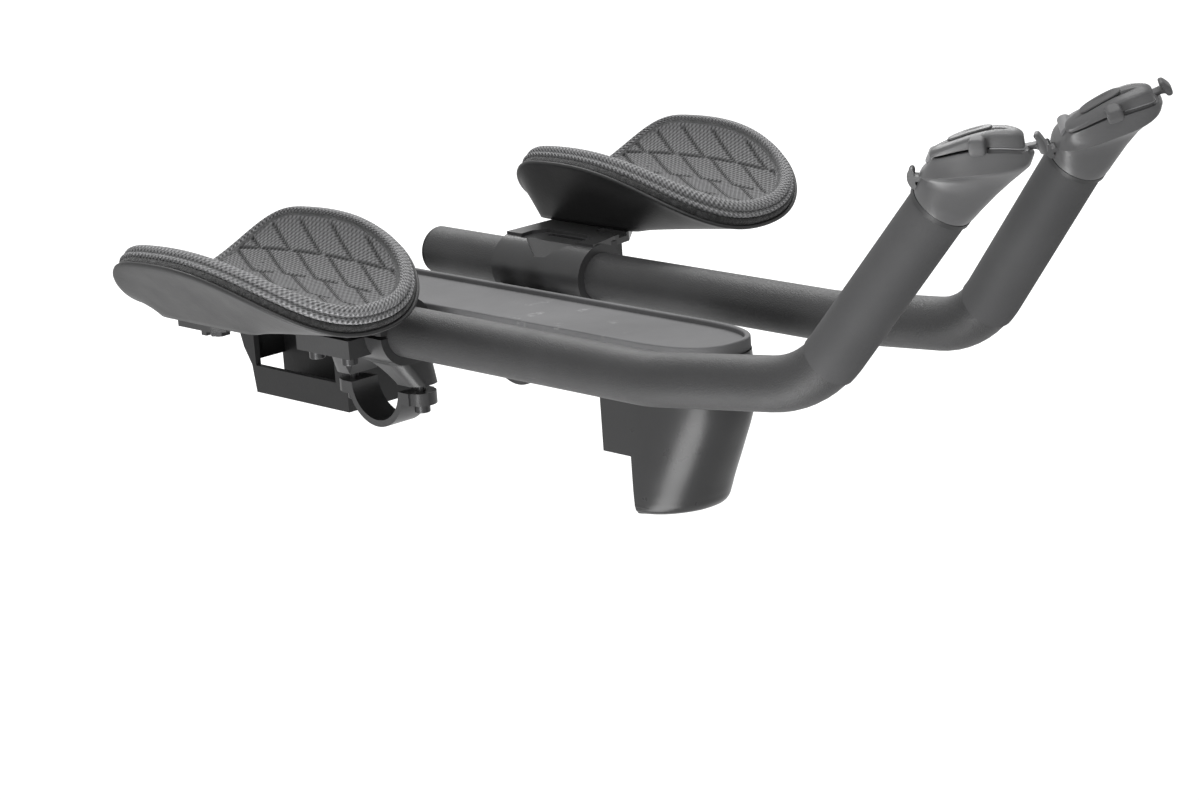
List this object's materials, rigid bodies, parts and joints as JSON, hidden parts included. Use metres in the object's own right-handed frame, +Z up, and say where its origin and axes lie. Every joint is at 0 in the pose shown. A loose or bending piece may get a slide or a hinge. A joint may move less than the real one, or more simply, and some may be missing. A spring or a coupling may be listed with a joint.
{
  "type": "clip-on aero bar",
  "caption": "Clip-on aero bar for a drop handlebar: bent extensions with tip controllers, padded forearm rests on clamp brackets, and a tray-topped centre unit with a nose housing.",
  "frame": {"origin": "on the axis of the base bar that the clamps hold, half way between the two clamps", "axes": "+X to the rider's right along the base bar, +Y forward along the extensions, +Z up"},
  "size_m": [0.322, 0.503, 0.1922],
  "materials": {
    "matt_black_alloy": "matt, fine grain",
    "black_plastic": "matt",
    "grip_rubber": "smooth soft rubber",
    "satin_cast_alloy": "satin dark grey",
    "bolt_steel": "black oxide",
    "cup_plastic": "fine texture",
    "hook_loop": "fuzzy pile",
    "pad_knit": "knit with debossed pattern",
    "controller_plastic": "smooth satin",
    "collar_metal": "satin",
    "button_plastic": "satin",
    "roller_plastic": "light grey",
    "lid_rubber": "matt with light scuffs",
    "housing_plastic": "matt",
    "nose_gloss": "soft gloss"
  },
  "bodies": {
    "kit": {"extension_right": "matt_black_alloy", "end_plug_right": "black_plastic", "grip_right": "grip_rubber", "bracket_right": "satin_cast_alloy", "clamp_cap_right": "satin_cast_alloy", "clamp_bolts_right": "bolt_steel", "pinch_bolts_right": "bolt_steel", "armrest_cup_right": "cup_plastic", "armrest_layer_right": "hook_loop", "armrest_pad_right": "pad_knit", "cup_bolts_right": "bolt_steel", "cup_nuts_right": "bolt_steel", "controller_body_right": "controller_plastic", "controller_collar_right": "collar_metal", "controller_cap_right": "controller_plastic", "cap_plate_right": "controller_plastic", "extension_left": "matt_black_alloy", "end_plug_left": "black_plastic", "grip_left": "grip_rubber", "bracket_left": "satin_cast_alloy", "clamp_cap_left": "satin_cast_alloy", "clamp_bolts_left": "bolt_steel", "pinch_bolts_left": "bolt_steel", "armrest_cup_left": "cup_plastic", "armrest_layer_left": "hook_loop", "armrest_pad_left": "pad_knit", "cup_bolts_left": "bolt_steel", "cup_nuts_left": "bolt_steel", "controller_body_left": "controller_plastic", "controller_collar_left": "collar_metal", "controller_cap_left": "controller_plastic", "cap_plate_left": "controller_plastic", "tray_lid": "lid_rubber", "spine": "housing_plastic", "nose": "nose_gloss", "spine_screws": "bolt_steel"},
    "side_button_right": {"side_button_right": "button_plastic"},
    "front_lever_right": {"front_lever_right": "button_plastic"},
    "rear_lever_right": {"rear_lever_right": "black_plastic"},
    "thumb_roller_right": {"thumb_roller_right": "roller_plastic"},
    "side_button_left": {"side_button_left": "button_plastic"},
    "front_lever_left": {"front_lever_left": "button_plastic"},
    "rear_lever_left": {"rear_lever_left": "black_plastic"},
    "thumb_roller_left": {"thumb_roller_left": "roller_plastic"}
  },
  "joints": [
    {"name": "side_button_press_right", "type": "slide", "parent": "kit", "child": "side_button_right", "axis": [-0.8309, -0.4785, 0.284], "range_m": [0, 0.001], "stiffness_N_per_m": 1500},
    {"name": "front_lever_tilt_right", "type": "hinge", "parent": "kit", "child": "front_lever_right", "pos_m": [0.0316, 0.36058, 0.13665], "axis": [0.8309, 0.4785, -0.284], "range_deg": [-3, 3], "stiffness_Nm_per_rad": 0.3},
    {"name": "rear_lever_tilt_right", "type": "hinge", "parent": "kit", "child": "rear_lever_right", "pos_m": [0.04449, 0.33069, 0.12402], "axis": [0.8309, 0.4785, -0.284], "range_deg": [-2, 2], "stiffness_Nm_per_rad": 0.3},
    {"name": "thumb_roller_spin_right", "type": "hinge", "parent": "kit", "child": "thumb_roller_right", "pos_m": [0.04677, 0.33221, 0.13325], "axis": [0.8309, 0.4785, -0.284], "continuous": true},
    {"name": "side_button_press_left", "type": "slide", "parent": "kit", "child": "side_button_left", "axis": [-0.4929, -0.6557, 0.572], "range_m": [0, 0.001], "stiffness_N_per_m": 1500},
    {"name": "front_lever_tilt_left", "type": "hinge", "parent": "kit", "child": "front_lever_left", "pos_m": [-0.05238, 0.35154, 0.14082], "axis": [0.4929, 0.6557, -0.572], "range_deg": [-3, 3], "stiffness_Nm_per_rad": 0.3},
    {"name": "rear_lever_tilt_left", "type": "hinge", "parent": "kit", "child": "rear_lever_left", "pos_m": [-0.0385, 0.32521, 0.12259], "axis": [0.4929, 0.6557, -0.572], "range_deg": [-2, 2], "stiffness_Nm_per_rad": 0.3},
    {"name": "thumb_roller_spin_left", "type": "hinge", "parent": "kit", "child": "thumb_roller_left", "pos_m": [-0.03316, 0.3278, 0.13016], "axis": [0.4929, 0.6557, -0.572], "continuous": true}
  ]
}
